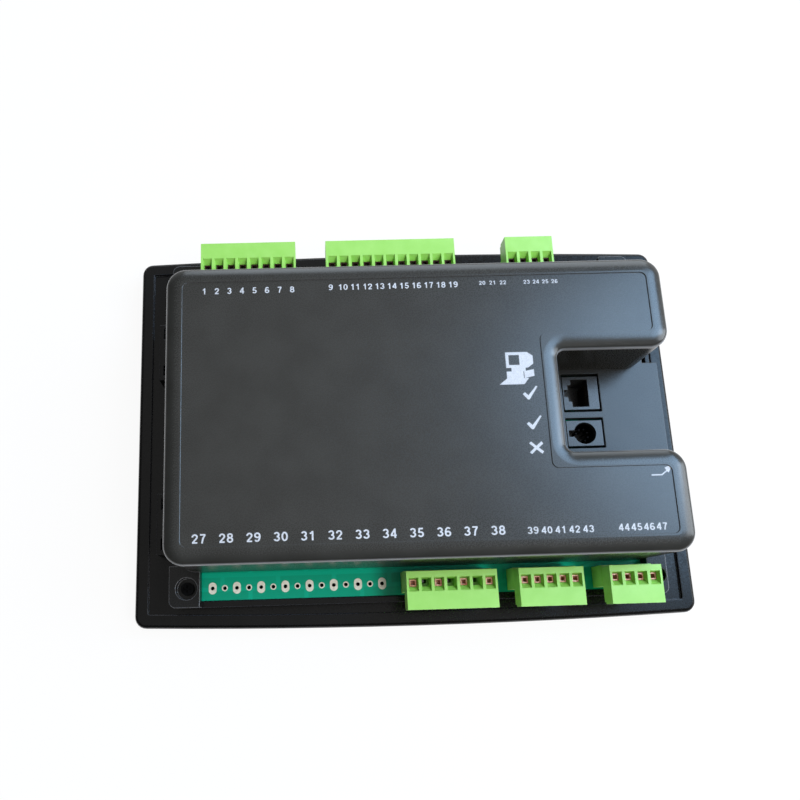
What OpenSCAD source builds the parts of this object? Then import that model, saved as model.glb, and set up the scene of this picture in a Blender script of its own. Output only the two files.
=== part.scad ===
// Panel-mounted generator controller, lying on its front rim with the rear side up.
// X runs along the long side, Y towards terminals 1 to 26, Z from the front rim to the rear.

/* [Front case] */
// How far the flange stands out beyond the body at each side
flange_x = 16.8; // [14:0.2:20]
// How far the flange stands out beyond the body above and below, at mid width
flange_y = 10; // [9:0.2:14]
// From the cover's sides to the body's outside
side_gap = 2.9; // [2.8:0.1:4]
// Width of the terminal strips between the cover and the body's outside
strip_w = 16.2; // [16:0.1:18]
// How far the long edges bow outward between the corners
edge_bow = 2.3; // [0:0.1:3]
// Corner radius of the front case
case_r = 5; // [4:0.5:8]
// Depth of the flange from the front rim to the panel seat
flange_d = 12; // [11.5:0.5:13]
// Wall of the moulded cases
wall = 2.5; // [2:0.1:2.8]
// Width of the panel seat along the flange's edge
seat_w = 5.7; // [4:0.1:6.5]
// Depth of the gasket step inside the panel seat
step_d = 1.3; // [0.5:0.1:1.8]
// Width of the front rim around the overlay
rim_w = 7; // [5:0.5:8]
// Depth of the front recess
recess_d = 2; // [1.6:0.1:2.2]
// Corner radius of the body
body_r = 4; // [2:0.5:5]
// How far the clip stations stand out from the body
clip_out = 6.3; // [5:0.1:6.6]
// Length of a clip station
clip_len = 26; // [22:1:30]
// Height of the clip stations above the front rim
clip_top = 20; // [18:0.5:22]

/* [Rear cover] */
// Depth of the whole controller
depth = 57; // [54:0.5:60]
// Width of the rear cover
cover_w = 200.6; // [185:0.2:220]
// Height of the rear cover
cover_h = 119.6; // [108:0.2:134]
// How far the cover sits to the right of the middle
cover_x = 0.5; // [0:0.1:0.8]
// How far the cover sits below the middle
cover_drop = 1.7; // [1:0.1:2]
// Width of the curved shoulder between the rim and the label field
shoulder_w = 6.3; // [5:0.1:7]
// Slope of the shoulder where it runs into the rim, in degrees
shoulder_tilt = 25; // [8:1:32]
// Corner radius of the cover in plan
cover_r = 8; // [7.5:0.1:10]
// Radius of the cover's rounded rim
rim_r = 2; // [1.4:0.1:2.4]
// Depth of the recessed label field
label_d = 0.4; // [0.2:0.05:0.5]
// How far the notch reaches in from the cover's right side
notch_len = 45.5; // [44:0.1:48]
// Height of the notch along Y
notch_h = 41.3; // [40:0.1:44]
// Middle of the notch along Y
notch_y = -1.15; // [-1.5:0.05:-0.5]
// Radius of the notch's inner corners
notch_r = 3.2; // [2:0.1:6]
// How far the notch floor stands out beyond the body
floor_out = 3.8; // [2:0.1:5]
// Height of the notch floor above the front rim
notch_floor = 31; // [30:0.1:34]
// Top of the corner tabs above the front rim
tab_top = 24; // [22:0.1:25]
// Length of a corner tab along X
tab_w = 12.7; // [12:0.1:13]
// Length of the narrow tab beside the last plug
narrow_tab_w = 8; // [7.6:0.1:8.2]

/* [Boards] */
// Height of the main board's rear face above the front rim
board_top = 18; // [17.6:0.1:18.6]
// Thickness of both boards
board_t = 1.6; // [1.2:0.1:1.8]
// Front face of the display board
display_front = 9.5; // [9.3:0.1:9.8]
// From the main board's ends to the display board's ends
display_in_x = 14.4; // [12:0.1:18]
// From the main board's long edges to those of the display board
display_in_y = 17.2; // [15:0.1:18]
// Gap between pieces that are put together by hand
fit = 0.3; // [0.2:0.05:0.4]

/* [Terminals] */
// Distance from one terminal to the next
pitch = 5.08; // [5:0.01:5.1]
// Distance of the pin rows from the body's outside
pin_edge = 7.8; // [7.6:0.1:8]
// Width of a header across its row
header_w = 8.6; // [8.2:0.1:9]
// Height of a header above the board
header_h = 10.5; // [10:0.1:11]
// Wall of a header
header_wall = 1.2; // [1:0.05:1.3]
// Depth of a plug across its row
plug_w = 15; // [14:0.1:16]
// Height of a plug's wire face above the front rim
plug_top = 36.8; // [36:0.1:39]
// From a plug's inner face to its pin row
plug_lead = 3.5; // [3.4:0.1:3.7]
// Width of a wire chamber
funnel_w = 3; // [2.8:0.05:3.4]
// Length of a wire chamber across the row
funnel_l = 3; // [2.8:0.05:3.4]
// Width of a wire mouth on the wire face
mouth_w = 3.9; // [3.6:0.05:4.2]
// Length of a wire mouth on the wire face
mouth_l = 5.4; // [4.8:0.1:5.8]
// Distance of a wire mouth from the plug's inner face
mouth_in = 2.5; // [2:0.1:2.8]
// Depth of a wire mouth's slopes
mouth_d = 2.4; // [1.6:0.1:2.8]
// Depth of a wire funnel
funnel_d = 6.6; // [6:0.1:7]
// Distance of a funnel's middle from the plug's inner face
funnel_y = 4.5; // [4.3:0.1:4.8]
// Diameter of the screw holes in a plug
screw_bore = 3.4; // [3.2:0.05:3.6]

/* [Ports] */
// From the notch's left side to the middle of both ports
port_in = 17.5; // [17:0.1:18]
// Size of the modular jack along X
jack_w = 15.2; // [14.6:0.1:15.4]
// Size of the modular jack along Y
jack_l = 14.7; // [14.4:0.1:15]
// Middle of the modular jack along Y
jack_y = 9.15; // [9:0.05:9.4]
// Size of the round port along X
port_w = 15; // [14:0.1:15.2]
// Size of the round port along Y
port_l = 11; // [10.6:0.1:11.4]
// Middle of the round port along Y
port_y = -8.6; // [-8.8:0.05:-8.4]
// Inner diameter of the round port
port_bore = 9.4; // [9:0.1:9.6]

/* [Front face] */
// Thickness of the overlay
overlay_t = 0.8; // [0.6:0.05:0.9]
// Width of the display opening
window_w = 90; // [84:1:94]
// Height of the display opening
window_h = 46; // [40:1:48]
// Diameter of the push buttons
button_d = 12.4; // [11:0.1:13]
// Diameter of the scroll keys
key_d = 9; // [8:0.1:10]
// From the display board's upper edge to the middle of the window
window_down = 34; // [32:0.5:38]
// From the display board's ends to the outer buttons
button_in = 8; // [6:0.5:12]
// From the display board's lower edge to the row of buttons
button_up = 12; // [10:0.5:14]
// From the display board's end to the upright row of lamps
led_in = 11; // [9:0.5:14]
// Distance between the lamps of the upright row
led_step = 12; // [10:0.5:13]
// From the row of buttons to the lamps above it
led_above = 18; // [15:0.5:20]
// From the display board's end to the scroll keys
scroll_in = 14; // [12:0.5:16]
// Distance between the scroll keys
scroll_step = 20; // [16:0.5:24]
// Travel of the buttons and keys
travel = 0.8; // [0.5:0.05:0.8]

/* [Hidden] */
$fn = 48;

// Colours
case_black = [0.10, 0.10, 0.11];
cover_black = [0.20, 0.20, 0.21];
terminal_green = [0.48, 0.83, 0.35];
board_green = [0.0, 0.45, 0.34];
copper = [0.60, 0.33, 0.22];
steel = [0.75, 0.75, 0.77];
ivory = [0.90, 0.88, 0.80];

// Overall sizes
body_w = cover_w + 2 * side_gap;
body_h = cover_h + 2 * strip_w;
case_w = body_w + 2 * flange_x;
case_h = body_h + 2 * flange_y;
board_w = body_w - 2 * wall - 2 * fit;
board_h = body_h - 2 * wall - 2 * fit;
display_w = board_w - 2 * display_in_x;
display_h = board_h - 2 * display_in_y;

// Front case
facia_front = recess_d;
facia_rear = recess_d + wall;
groove_z = flange_d - step_d;
flange_floor = groove_z - 2;
body_top = board_top + 0.2;
edge_round = 2.6;
edge_points = 12;
corner_points = 6;
recess_r = 4;
clip_slot_w = 2.6;
clip_slot_l = 5;
clip_slot_step = 17.2;
notch_b = notch_y - notch_h / 2;
notch_t = notch_y + notch_h / 2;
clip_stations = [max(body_h * 0.24, notch_t + wall + clip_len / 2 + 1),
    -max(body_h * 0.268, wall - notch_b + clip_len / 2 + 1)];
pillar_d = 8.5;
narrow_pillar_d = 6.4;
post_d = 7;
small_post_d = 6;
screw_core = 2.5;
display_screw_l = 4;
board_screw_l = 6;
case_screw_l = 10;
link_w = 32;
link_t = 5;
link_up = 20;
board_posts = [for (sx = [-1, 1], sy = [-1, 1]) [sx * (board_w / 2 - 7.4), sy * cover_h / 3]];
display_posts = [for (sx = [-1, 1], sy = [-1, 1]) [sx * (display_w / 2 - 26), sy * (display_h / 2 - 4)]];

// Corner fixings: side in X, side in Y, length of the tab, diameter of its pillar
corners = [[-1, -1, tab_w, pillar_d], [-1, 1, tab_w, pillar_d],
    [1, 1, tab_w, pillar_d], [1, -1, narrow_tab_w, narrow_pillar_d]];
case_screw_y = body_h / 2 - 7.7;
function case_screw_x(c) = c[0] * (body_w / 2 - (c[2] > narrow_tab_w ? 7.2 : c[2] / 2));

// Rear cover
foot_z = body_top + fit;
shoulder_r = round(100 * (rim_r + (shoulder_w - rim_r) / sin(shoulder_tilt))) / 100;
// The curves of the cover's section stand this much proud, so that they cross and don't only touch
lift = 0.005;
rim_z = depth - shoulder_r + sqrt(pow(shoulder_r - rim_r, 2) - pow(shoulder_w - rim_r, 2)) + 2 * lift;
cover_l = cover_x - cover_w / 2;
cover_right = cover_x + cover_w / 2;
cover_b = -cover_drop - cover_h / 2;
cover_t = -cover_drop + cover_h / 2;
notch_x = cover_right - notch_len;
notch_right = body_w / 2 + floor_out;
port_x = notch_x + port_in;
tab_r = 3;
recess_depth = 4.2;
head_d = 5.4;
head_h = 1.9;

// Boards
board_bottom = board_top - board_t;
display_rear = display_front + board_t;
pad_t = 0.12;
pad_hole = 1.6;
oval_w = 3.3;
oval_l = 4.9;
round_w = 2.5;
round_l = 2.6;
pads_wide = 15;
pads_spare = 3;

// Places along the two terminal rows: each group's length, and its share of the free space before it
pin_y = body_h / 2 - pin_edge;
plug_in = pin_y - plug_lead;
plug_end = 0.5;
function row_long(ways) = ways * pitch + plug_end;
function total(v, n) = n == 0 ? 0 : v[n - 1] + total(v, n - 1);
function row_mid(l, r, w, s, i) = l + total(w, i) + w[i] / 2 + total(s, i + 1) * (r - l - total(w, len(w)));
lower_long = [pads_wide * pitch, row_long(7), row_long(5), row_long(4)];
lower_share = [0.073, 0.2, 0.324, 0.388];
upper_long = [row_long(8), row_long(11), pads_spare * pitch, row_long(4)];
upper_share = [0.036, 0.279, 0.113, 0.038];
function lower_mid(i) = row_mid(tab_w - body_w / 2, body_w / 2 - narrow_tab_w, lower_long, lower_share, i);
function upper_mid(i) = row_mid(tab_w - body_w / 2, body_w / 2 - tab_w, upper_long, upper_share, i);

// Terminal groups: middle, number of ways, row (1 upper, -1 lower), empty ways
group_1_8 = [upper_mid(0), 8, 1, []];
group_9_19 = [upper_mid(1), 11, 1, []];
group_23_26 = [upper_mid(3), 4, 1, []];
group_35_38 = [lower_mid(1), 7, -1, [1, 3, 5]];
group_39_43 = [lower_mid(2), 5, -1, []];
group_44_47 = [lower_mid(3), 4, -1, []];
groups = [group_1_8, group_9_19, group_23_26, group_35_38, group_39_43, group_44_47];
function way_x(g, i) = g[0] + (i - (g[1] - 1) / 2) * pitch;
function group_mid(g) = g[0];
pads_x = lower_mid(0) - (pads_wide - 1) / 2 * pitch;
spare_x = upper_mid(2) - (pads_spare - 1) / 2 * pitch;
function is_empty(g, i) = len([for (e = g[3]) if (e == i) e]) > 0;
header_top = board_top + header_h;
header_floor = board_top + 2;
block_bottom = header_top + fit;
tongue_bottom = header_floor + 1;
tongue_gap = fit;
pin_w = 1;
chamber_w = 2.2;
screw_z = plug_top - 5.2;
clamp_wall = 0.5;
clamp_drop = mouth_d;

// Ports
pocket_gap = 0.5;
slot_gap = 1.1;
socket_floor = board_top + 2;

// Front face
lip_t = 0.7;
lip_d = 2.6;
button_front = 0.4;
stem_d = 4;
switch_front = facia_rear + fit + lip_t + travel + fit;
switch_w = 8;
well_gap = 0.3;
stem_end = display_front - travel - 1.2;
led_d = 3;
window_y = display_h / 2 - window_down;
button_step = (display_w / 2 - button_in) / 2;
button_y = button_up - display_h / 2;
led_spots = [for (i = [0:3]) [display_w / 2 - led_in, window_y + 20 - led_step * i],
    for (i = [-2, -1, 1, 2]) [i * button_step, button_y + led_above]];
scroll_spots = [for (s = [1, -1]) [scroll_in - display_w / 2, window_y + 1 + s * scroll_step / 2]];
window_flange = 2;
flange_t = 0.6;

// Sizes of the fitted components
relay_size = [15, 19, 15.5];
transformer_size = [18, 17, 18];
processor_size = [20, 20, 1.6];
chip_size = [10, 6.2, 1.8];
coil_d = 20;
coil_hole = 8;
coil_h = 10;
can_d = 12;
can_h = 22;
disc_d = 14;
disc_t = 4.5;
film_d = 3.2;
film_l = 9;
sink_size = [16, 12, 1.5];
fin_t = 1;
fin_h = 12;
fin_step = 3;
crystal_size = [11, 4.6, 3.5];

// Unit vector along v
function unit(v) = v / norm(v);

// Path with every square corner rounded to radius r
function round_path(p, r, n = corner_points) = [for (i = [0:len(p) - 1])
    let (q = p[i], a = unit(p[(i + len(p) - 1) % len(p)] - q), b = unit(p[(i + 1) % len(p)] - q),
        c = q + r * (a + b))
    for (k = [0:n]) c - r * (b * cos(90 * k / n) + a * sin(90 * k / n))];

// Corners of a rectangle around the middle
function rect(w, h) = [[-w / 2, -h / 2], [w / 2, -h / 2], [w / 2, h / 2], [-w / 2, h / 2]];

// Height of a bowed long edge at x, for an outline set in by t
function bow_y(x, t) = case_h / 2 - t - edge_bow * pow(x / (case_w / 2), 2);

// Outline of the front case, set in by t
function case_outline(t) = let (a = case_w / 2 - t, r = max(case_r - t, 0.8), n = corner_points,
        yc = bow_y(a - r, t) - r,
        right = [for (k = [0:n]) [a - r + r * cos(90 * k / n), yc + r * sin(90 * k / n)]],
        top = [for (k = [1:edge_points - 1])
            let (x = (a - r) * (1 - 2 * k / edge_points)) [x, bow_y(x, t)]],
        left = [for (k = [0:n]) [-(a - r) - r * sin(90 * k / n), yc + r * cos(90 * k / n)]],
        upper = concat(right, top, left))
    concat(upper, [for (q = upper) -q]);

module rounded(w, h, r, z0, z1) {
    translate([0, 0, z0]) linear_extrude(z1 - z0) polygon(round_path(rect(w, h), r));
}

module case_slab(t, z0, z1) {
    translate([0, 0, z0]) linear_extrude(z1 - z0) polygon(case_outline(t));
}

module rod(p, d, z0, z1) {
    translate([p[0], p[1], z0]) cylinder(d = d, h = z1 - z0);
}

module block(p, size, z0) {
    translate([p[0] - size[0] / 2, p[1] - size[1] / 2, z0]) cube(size);
}

// Front buttons, as [position, diameter]
function button_spot(i) = [[(2 - i) * button_step, button_y], button_d];
function scroll_spot(i) = [scroll_spots[i], key_d];
buttons = [for (i = [0:4]) button_spot(i), for (i = [0:1]) scroll_spot(i)];

// Outer skin of the front case, round at the rim and at the rear edge
module case_skin() {
    hull() {
        case_slab(edge_round - 0.3, 0.4, 0.5);
        case_slab(edge_round * 0.3, 1.5, 1.6);
        case_slab(0, 3.2, flange_d - 1.7);
        case_slab(0.5, flange_d - 0.6, flange_d - 0.5);
        case_slab(1.5, flange_d - 0.1, flange_d);
    }
    case_slab(edge_round, 0, 3);
}

module clip_station(side, y) {
    x0 = side > 0 ? body_w / 2 - 1 : -body_w / 2 - clip_out;
    difference() {
        translate([x0, y - clip_len / 2, groove_z]) cube([1 + clip_out, clip_len, clip_top - groove_z]);
        for (s = [-1, 1])
            block([side * (body_w / 2 + clip_out / 2), y + s * clip_slot_step / 2],
                [clip_slot_w, clip_slot_l, clip_top], flange_d);
    }
}

// Opening inside the body, from the facia to the rear
module body_opening(z0, z1) {
    rounded(board_w + 2 * fit, board_h + 2 * fit, body_r - 1, z0, z1);
}

module front_bezel() {
    color(case_black) difference() {
        union() {
            difference() {
                case_skin();
                rounded(case_w - 2 * rim_w, case_h - 2 * (rim_w + edge_bow), recess_r, -1, facia_front);
                case_slab(wall + 0.5, facia_rear, flange_floor);
                case_slab(seat_w, groove_z, flange_d + 1);
                body_opening(facia_rear, depth);
                for (c = corners)
                    rod([case_screw_x(c), c[1] * case_screw_y], c[3] + 2 * fit, facia_rear, depth);
            }
            for (p = display_posts) rod(p, small_post_d, facia_rear - 1, display_front);
        }
        translate([0, window_y]) rounded(window_w, window_h, 2, -1, facia_rear + 1);
        for (b = buttons) rod(b[0], b[1] + 2 * fit, -1, facia_rear + 1);
        for (p = led_spots) rod(p, led_d + 2 * fit, -1, facia_rear + 1);
        for (p = display_posts) rod(p, screw_core, facia_rear + 1, display_rear);
    }
}

// Walls of the body with clip stations, corner pillars and board posts
module body_frame() {
    color(case_black) difference() {
        union() {
            difference() {
                rounded(body_w, body_h, body_r, groove_z, body_top);
                body_opening(groove_z - 1, body_top + 1);
            }
            for (side = [-1, 1], y = clip_stations) clip_station(side, y);
            for (c = corners) {
                x = case_screw_x(c);
                rod([x, c[1] * case_screw_y], c[3], facia_rear, body_top);
                block([x + c[0] * c[3] / 2, c[1] * case_screw_y], [c[3], 2, body_top - groove_z], groove_z);
            }
            for (p = board_posts) {
                rod(p, post_d, facia_rear, board_bottom);
                block([p[0] + sign(p[0]) * post_d / 2, p[1]],
                    [post_d + 2, 2, board_bottom - groove_z], groove_z);
            }
        }
        for (c = corners)
            rod([case_screw_x(c), c[1] * case_screw_y], screw_core, facia_rear + 1, body_top + 1);
        for (p = board_posts) rod(p, screw_core, facia_rear + 1, board_top);
        difference() {
            case_slab(-1, facia_rear + 1, depth);
            rounded(body_w, body_h, body_r, 0, depth);
            for (side = [-1, 1], y = clip_stations)
                block([side * body_w / 2, y], [2 * clip_out + 1, clip_len + 1, depth], 0);
        }
    }
}

module facia_overlay() {
    color([0.16, 0.17, 0.19]) difference() {
        rounded(case_w - 2 * rim_w - 2 * fit, case_h - 2 * (rim_w + edge_bow) - 2 * fit, recess_r - fit,
            facia_front - overlay_t, facia_front);
        translate([0, window_y]) rounded(window_w - 4, window_h - 4, 1, 0, facia_front + 1);
        for (b = buttons) rod(b[0], b[1] + 2 * fit, 0, facia_front + 1);
    }
}

module display_window() {
    color([0.75, 0.8, 0.8]) translate([0, window_y]) {
        rounded(window_w - 2 * fit, window_h - 2 * fit, 2 - fit, facia_front, facia_rear);
        rounded(window_w + 2 * window_flange, window_h + 2 * window_flange, 2,
            facia_rear, facia_rear + flange_t);
    }
}

lcd_front = facia_rear + flange_t + 0.2;
lcd_back = display_front;

module lcd_frame() {
    color(steel) translate([0, window_y]) difference() {
        rounded(window_w + 9, window_h + 12, 1.5, lcd_front, lcd_back);
        rounded(window_w - 4, window_h - 4, 1, lcd_front - 1, lcd_front + 1);
        rounded(window_w + 7, window_h + 10, 1, lcd_front + 0.5, lcd_back + 1);
    }
}

module lcd_panel() {
    color([0.45, 0.55, 0.35]) translate([0, window_y])
        rounded(window_w + 6, window_h + 9, 0.8, lcd_front + 0.5, lcd_front + 2.3);
}

module lcd_backlight() {
    color(ivory) translate([0, window_y])
        rounded(window_w + 6, window_h + 9, 0.8, lcd_front + 2.3, lcd_back);
}

module display_board() {
    color(board_green) difference() {
        rounded(display_w, display_h, 2, display_front, display_rear);
        for (p = display_posts) rod(p, 3.2, display_front - 1, display_rear + 1);
    }
}

// Pan-head screw pointing down, with its head seated at z
module pan_screw(p, z, shank, length) {
    difference() {
        rod(p, head_d, z, z + head_h);
        for (a = [0, 90])
            translate([p[0], p[1], z + head_h]) rotate(a) cube([3.2, 0.7, 1.6], center = true);
    }
    rod(p, shank, z - length, z);
}

module display_screws() {
    color(steel) for (p = display_posts) pan_screw(p, display_rear, screw_core, display_screw_l);
}

module board_screws() {
    color(steel) for (p = board_posts) pan_screw(p, board_top, screw_core, board_screw_l);
}

module case_screws() {
    color([0.15, 0.15, 0.16]) for (c = corners)
        pan_screw([case_screw_x(c), c[1] * case_screw_y], tab_top - recess_depth, screw_core, case_screw_l);
}

module key_switches() {
    color([0.2, 0.2, 0.2]) for (b = buttons) difference() {
        block(b[0], [switch_w, switch_w, display_front - switch_front], switch_front);
        rod(b[0], stem_d + 2 * well_gap, switch_front - 1, stem_end + travel + 0.4);
    }
}

module indicator_leds() {
    color([0.85, 0.2, 0.15]) for (p = led_spots) {
        rod(p, led_d, facia_front + led_d / 2, display_front);
        translate([p[0], p[1], facia_front + led_d / 2]) sphere(d = led_d);
        rod(p, led_d + 0.8, facia_rear + 1, facia_rear + 2);
    }
}

// Push button with a domed cap, a stop lip behind the facia and a stem to its switch
module push_button(spot, shade) {
    p = spot[0];
    d = spot[1];
    color(shade) {
        rod(p, d - 1, button_front, button_front + 0.4);
        rod(p, d, button_front + 0.4, facia_rear + fit);
        rod(p, d + lip_d, facia_rear + fit, facia_rear + fit + lip_t);
        rod(p, stem_d, facia_rear + fit, stem_end);
    }
}

module stop_button() push_button(button_spot(0), [0.75, 0.12, 0.1]);
module manual_button() push_button(button_spot(1), ivory);
module test_button() push_button(button_spot(2), ivory);
module auto_button() push_button(button_spot(3), ivory);
module start_button() push_button(button_spot(4), [0.15, 0.55, 0.2]);
module scroll_up_key() push_button(scroll_spot(0), ivory);
module scroll_down_key() push_button(scroll_spot(1), ivory);

module board_link() {
    color([0.12, 0.12, 0.12])
        block([0, button_y + link_up], [link_w, link_t, board_bottom - display_rear], display_rear);
}

module main_board() {
    color(board_green) difference() {
        rounded(board_w, board_h, body_r - 1.2, board_bottom, board_top);
        for (c = corners) {
            x = case_screw_x(c);
            y = c[1] * case_screw_y;
            rod([x, y], c[3] + 2 * fit, board_bottom - 1, board_top + 1);
            block([x + c[0] * c[3] / 2, y], [c[3], c[3] + 2 * fit, board_t + 2], board_bottom - 1);
            block([x, y + c[1] * c[3] / 2], [c[3] + 2 * fit, c[3], board_t + 2], board_bottom - 1);
            block([x + c[0] * c[3] / 2, y + c[1] * c[3] / 2], [c[3], c[3], board_t + 2], board_bottom - 1);
        }
        for (p = board_posts) rod(p, 3.2, board_bottom - 1, board_top + 1);
        for (g = groups, i = [0:g[1] - 1])
            rod([way_x(g, i), g[2] * pin_y], pad_hole, board_bottom - 1, board_top + 1);
        for (i = [0:pads_wide - 1])
            rod([pads_x + i * pitch, -pin_y], pad_hole, board_bottom - 1, board_top + 1);
        for (i = [0:pads_spare - 1])
            rod([spare_x + i * pitch, pin_y], pad_hole, board_bottom - 1, board_top + 1);
    }
}

// Oval land around a plated hole
module pad(p, w, l) {
    difference() {
        union() {
            for (s = [-1, 1]) rod([p[0], p[1] + s * (l - w) / 2], w, board_top, board_top + pad_t);
            block(p, [w, l - w, pad_t], board_top);
        }
        rod(p, pad_hole, board_top - 1, board_top + 1);
    }
}

module solder_pads() {
    color(ivory) {
        for (i = [0:pads_wide - 1])
            if (i % 2 == 0) pad([pads_x + i * pitch, -pin_y], oval_w, oval_l);
            else pad([pads_x + i * pitch, -pin_y], round_w, round_l);
        for (i = [0:pads_spare - 1]) pad([spare_x + i * pitch, pin_y], round_w, round_l);
    }
}

// Header: a trough on the board with one pin hole for each way
module header(g) {
    long = g[1] * pitch + plug_end;
    p = [group_mid(g), g[2] * pin_y];
    color(terminal_green) difference() {
        block(p, [long, header_w, header_h], board_top);
        block(p, [long - 2 * header_wall, header_w - 2 * header_wall, header_h], header_floor);
        for (i = [0:g[1] - 1])
            block([way_x(g, i), p[1]], [pin_w, pin_w, 5], board_top - 1);
    }
}

module header_1_8() header(group_1_8);
module header_9_19() header(group_9_19);
module header_23_26() header(group_23_26);
module header_35_38() header(group_35_38);
module header_39_43() header(group_39_43);
module header_44_47() header(group_44_47);

module header_pins() {
    color(steel) for (g = groups, i = [0:g[1] - 1]) {
        p = [way_x(g, i), g[2] * pin_y];
        block(p, [pin_w, pin_w, header_top - board_top - 2], board_top + 0.1);
        rod(p, pin_w, board_bottom - 1.8, board_top + 0.1);
    }
}

// Section of a sloped mouth: two ends at its depth, then two ends at the wire face
function mouth_plan(deep, face) = [[deep[0], 0], [deep[1], 0], [face[1], mouth_d], [face[1], mouth_d + 1],
    [face[0], mouth_d + 1], [face[0], mouth_d]];

// Two distances from a plug's inner face as places along Y, in rising order
function outward(side, a, b) = side > 0 ? [plug_in + a, plug_in + b] : [-plug_in - b, -plug_in - a];

// Sloped wire mouth at x, cut from the wire face
module wire_mouth(x, side) {
    deep = outward(side, funnel_y - funnel_l / 2, funnel_y + funnel_l / 2);
    face = outward(side, mouth_in, mouth_in + mouth_l);
    translate([x, 0, plug_top - mouth_d]) intersection() {
        translate([0, side * (plug_in + plug_w / 2), 0]) rotate([90, 0, 0])
            linear_extrude(plug_w, center = true)
                polygon(mouth_plan([-funnel_w / 2, funnel_w / 2], [-mouth_w / 2, mouth_w / 2]));
        rotate([90, 0, 90]) linear_extrude(2 * funnel_w, center = true) polygon(mouth_plan(deep, face));
    }
}

// Terminal plug: wire block over the header, tongue inside it, funnels, screw holes and grooves
module plug(g) {
    long = g[1] * pitch + plug_end;
    mid = group_mid(g);
    side = g[2];
    block_y = side * (plug_in + plug_w / 2);
    wire_y = side * (plug_in + funnel_y);
    color(terminal_green) difference() {
        union() {
            block([mid, block_y], [long, plug_w, plug_top - block_bottom], block_bottom);
            block([mid, side * pin_y],
                [long - 2 * header_wall - 2 * tongue_gap, header_w - 2 * header_wall - 2 * tongue_gap,
                    block_bottom - tongue_bottom + 1], tongue_bottom);
        }
        for (i = [0:g[1] - 1]) {
            x = way_x(g, i);
            floor_z = is_empty(g, i) ? block_bottom + 1 : plug_top - funnel_d;
            chamber_top = is_empty(g, i) ? floor_z + 0.5 : header_top - 1;
            block([x, wire_y], [funnel_w, funnel_l, plug_top - floor_z + 1], floor_z);
            wire_mouth(x, side);
            block([x, side * pin_y], [chamber_w, chamber_w, chamber_top - tongue_bottom + 1],
                tongue_bottom - 1);
            translate([x, wire_y, screw_z]) rotate([-90 * side, 0, 0]) cylinder(d = screw_bore, h = plug_w);
        }
        for (i = [1:g[1] - 1])
            block([way_x(g, i) - pitch / 2, side * (plug_in + plug_w)], [0.6, 1, plug_top - 1.5], 0);
        block([mid, side * (plug_in + plug_w)], [long + 2, 1.6, 2.4], block_bottom - 1);
    }
}

module plug_1_8() plug(group_1_8);
module plug_9_19() plug(group_9_19);
module plug_23_26() plug(group_23_26);
module plug_35_38() plug(group_35_38);
module plug_39_43() plug(group_39_43);
module plug_44_47() plug(group_44_47);

clamp_w = funnel_w - 0.3;
clamp_l = funnel_l - 0.3;
clamp_bottom = plug_top - funnel_d;

module wire_clamps() {
    color(copper) for (g = groups, i = [0:g[1] - 1]) if (!is_empty(g, i)) {
        p = [way_x(g, i), g[2] * (plug_in + funnel_y)];
        difference() {
            block(p, [clamp_w, clamp_l, funnel_d - clamp_drop], clamp_bottom);
            block(p, [clamp_w - 2 * clamp_wall, clamp_l - 2 * clamp_wall, funnel_d], clamp_bottom + 1);
            translate([p[0], p[1], screw_z]) rotate([-90 * g[2], 0, 0]) cylinder(d = 2.4, h = clamp_l);
        }
    }
}

module clamp_screws() {
    reach = plug_w - funnel_y - 0.6;
    color(steel) for (g = groups, i = [0:g[1] - 1]) if (!is_empty(g, i))
        translate([way_x(g, i), g[2] * (plug_in + funnel_y), screw_z]) rotate([-90 * g[2], 0, 0]) {
            translate([0, 0, 0.6]) cylinder(d = 2.2, h = reach - 0.8);
            difference() {
                translate([0, 0, reach - 2.2]) cylinder(d = screw_bore, h = 2.2);
                translate([0, 0, reach]) cube([4, 0.6, 1.4], center = true);
            }
        }
}

jack_front = notch_floor - 0.4;
jack_hole = [7, 12];
jack_steps = [[1.5, 7.1], [1.7, 2.9]];
jack_hole_x = port_x - 0.4;

module modular_jack() {
    color([0.30, 0.32, 0.36]) difference() {
        block([port_x, jack_y], [jack_w, jack_l, jack_front - board_top], board_top);
        block([jack_hole_x, jack_y], [jack_hole[0], jack_hole[1], depth], socket_floor);
        block([jack_hole_x - jack_hole[0] / 2, jack_y],
            [2 * jack_steps[0][0], jack_steps[0][1], depth], socket_floor);
        block([jack_hole_x - jack_hole[0] / 2 - jack_steps[0][0], jack_y],
            [2 * jack_steps[1][0], jack_steps[1][1], depth], socket_floor);
    }
}

module jack_contacts() {
    color([0.85, 0.68, 0.3]) for (i = [0:7])
        block([jack_hole_x + jack_hole[0] / 2 - 0.4, jack_y + (i - 3.5) * 1.02],
            [0.5, 0.4, 8.5], socket_floor);
}

module round_port() {
    color([0.30, 0.32, 0.36]) difference() {
        block([port_x, port_y], [port_w, port_l, jack_front - board_top], board_top);
        rod([port_x, port_y], port_bore, socket_floor, depth);
        block([port_x - port_bore / 2, port_y], [4.2, 2.8, depth], socket_floor);
    }
}

module port_shield() {
    color(steel) difference() {
        rod([port_x, port_y], port_bore - 0.2, socket_floor, jack_front - 1.5);
        rod([port_x, port_y], port_bore - 0.8, socket_floor - 1, depth);
        block([port_x - port_bore / 2, port_y], [3, 2.8, depth], socket_floor - 1);
    }
}

module port_pins() {
    color(steel) for (a = [25:45:340])
        rod([port_x + 2.6 * cos(a + 180), port_y + 2.6 * sin(a + 180)], 0.8, socket_floor, notch_floor - 4);
}

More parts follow.
